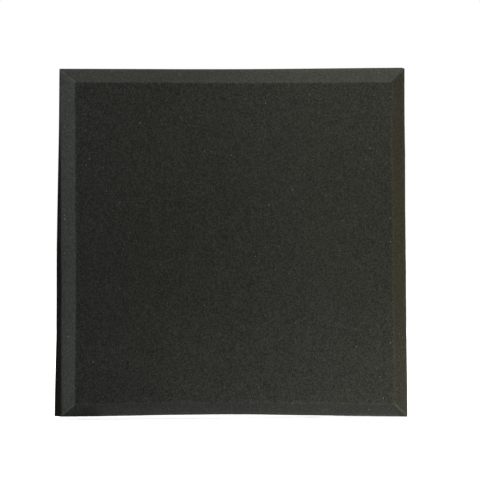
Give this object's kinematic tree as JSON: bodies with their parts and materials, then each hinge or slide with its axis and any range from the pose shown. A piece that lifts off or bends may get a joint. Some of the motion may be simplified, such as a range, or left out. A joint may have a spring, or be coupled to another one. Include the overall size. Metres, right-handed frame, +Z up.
{
  "type": "acoustic foam tile",
  "caption": "Square charcoal foam sound-absorbing wall tile with a flat face, a bevelled frame and peel-and-stick mounting pads on its back.",
  "frame": {"origin": "middle of the back, in the wall's plane, on the outer side of the middle pad's release liner", "axes": "+Z up as the tile hangs, -Y out of the flat face towards the listener, +Y into the wall, +X to the right of someone who faces the tile"},
  "size_m": [0.61, 0.0527, 0.61],
  "materials": {
    "foam": "matte charcoal open-cell polyurethane foam",
    "tape": "matte black closed-cell foam tape",
    "liner": "smooth coated release paper"
  },
  "bodies": {
    "root": {"foam_tile": "foam", "tape_pad_middle": "tape", "tape_pad_top_left": "tape", "tape_pad_top_right": "tape", "tape_pad_bottom_left": "tape", "tape_pad_bottom_right": "tape", "liner_middle": "liner", "liner_top_left": "liner", "liner_top_right": "liner", "liner_bottom_left": "liner", "liner_bottom_right": "liner"}
  },
  "joints": []
}
